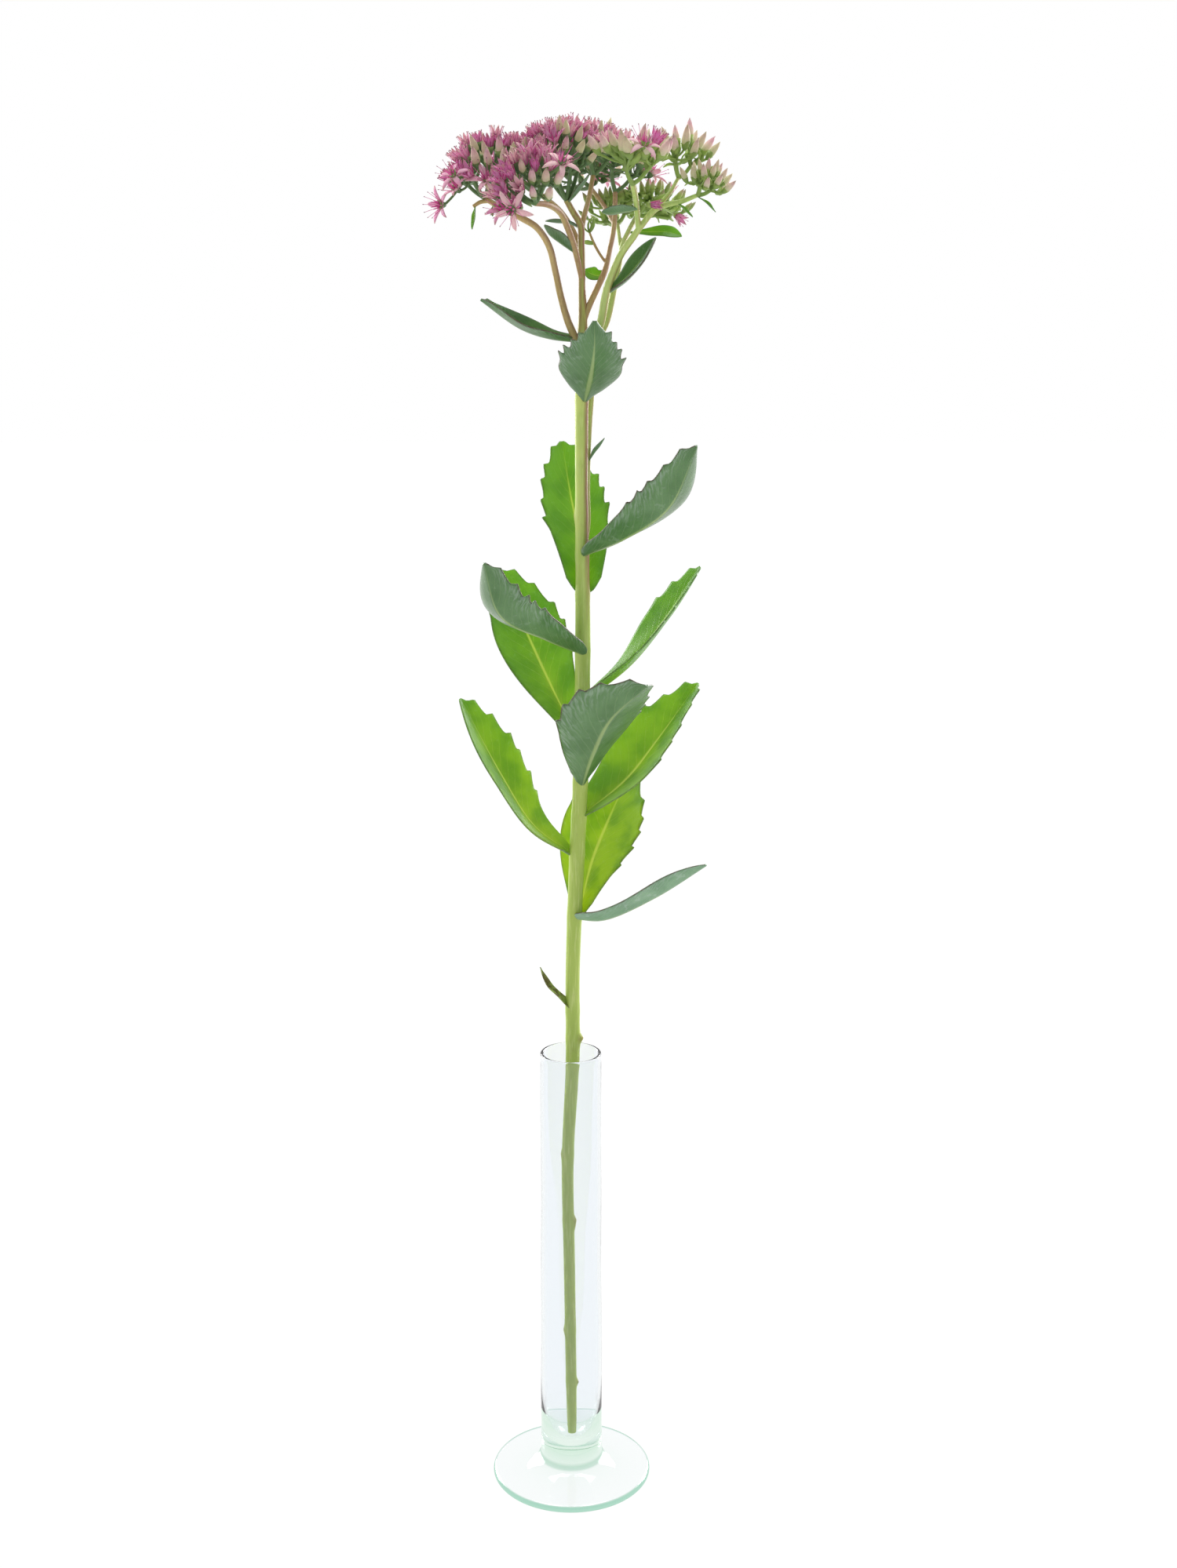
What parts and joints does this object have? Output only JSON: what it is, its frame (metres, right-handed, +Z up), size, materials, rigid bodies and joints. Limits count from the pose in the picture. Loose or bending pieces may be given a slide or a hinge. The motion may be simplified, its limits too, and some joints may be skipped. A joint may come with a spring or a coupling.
{
  "type": "stonecrop stem in a glass stem vase",
  "caption": "Cut stonecrop stem with toothed fleshy leaves and a flat head of pink flowers and buds, standing in a tall narrow clear glass vase on a round foot.",
  "frame": {"origin": "middle of the flat underside of the vase's foot", "axes": "+Z up along the vase and the stem, -Y the front of the picture's view, +X to the right in it"},
  "size_m": [0.0937, 0.085, 0.4969],
  "materials": {
    "clear_glass": "polished clear glass with a slight green tint",
    "green_stem": "satin plant skin, yellow-green",
    "brown_stem": "satin plant skin, olive to purple-brown",
    "green_leaf": "waxy fleshy leaf, paler grey-green beneath",
    "dry_leaf": "dry papery leaf",
    "pink_flower": "soft satin petal, pink with magenta middles",
    "pale_bud": "closed bud, pale pink with a grey-purple tip",
    "green_calyx": "fleshy green calyx and stalk"
  },
  "bodies": {
    "root": {"bract_inner": "green_leaf", "bract_left": "green_leaf", "bract_outer": "green_leaf", "bract_right": "green_leaf", "branch_centre_right": "brown_stem", "branch_front": "brown_stem", "branch_left": "brown_stem", "branch_middle": "brown_stem", "branch_rear_left": "brown_stem", "branch_right": "green_stem", "cyme_centre_rear": "pink_flower", "cyme_centre_right": "pink_flower", "cyme_centre_top": "pink_flower", "cyme_left_front": "pink_flower", "cyme_left_outer": "pink_flower", "cyme_rear_centre": "pink_flower", "cyme_rear_inner": "pink_flower", "cyme_rear_left": "pink_flower", "cyme_right_front": "pink_flower", "cyme_right_middle": "pink_flower", "cyme_right_outer": "pink_flower", "cyme_right_rear": "pink_flower", "glass_vase": "clear_glass", "leaf_bottom_right": "green_leaf", "leaf_branch_middle": "green_leaf", "leaf_branch_right": "green_leaf", "leaf_fork": "green_leaf", "leaf_front_middle": "green_leaf", "leaf_front_top": "green_leaf", "leaf_left_front": "green_leaf", "leaf_left_lower": "green_leaf", "leaf_left_rear": "green_leaf", "leaf_rear_bright": "green_leaf", "leaf_rear_lower": "green_leaf", "leaf_rear_top": "green_leaf", "leaf_right_lower": "green_leaf", "leaf_right_middle": "green_leaf", "leaf_right_upper": "green_leaf", "leaf_scrap": "dry_leaf", "leaf_side_stem": "green_leaf", "leaf_trunk_left": "green_leaf", "leaf_trunk_top": "green_leaf", "leaf_trunk_upper": "green_leaf", "leaf_upper_left": "green_leaf", "lower_stem": "green_stem", "side_stem": "green_stem", "upper_stem": "green_stem"}
  },
  "joints": []
}
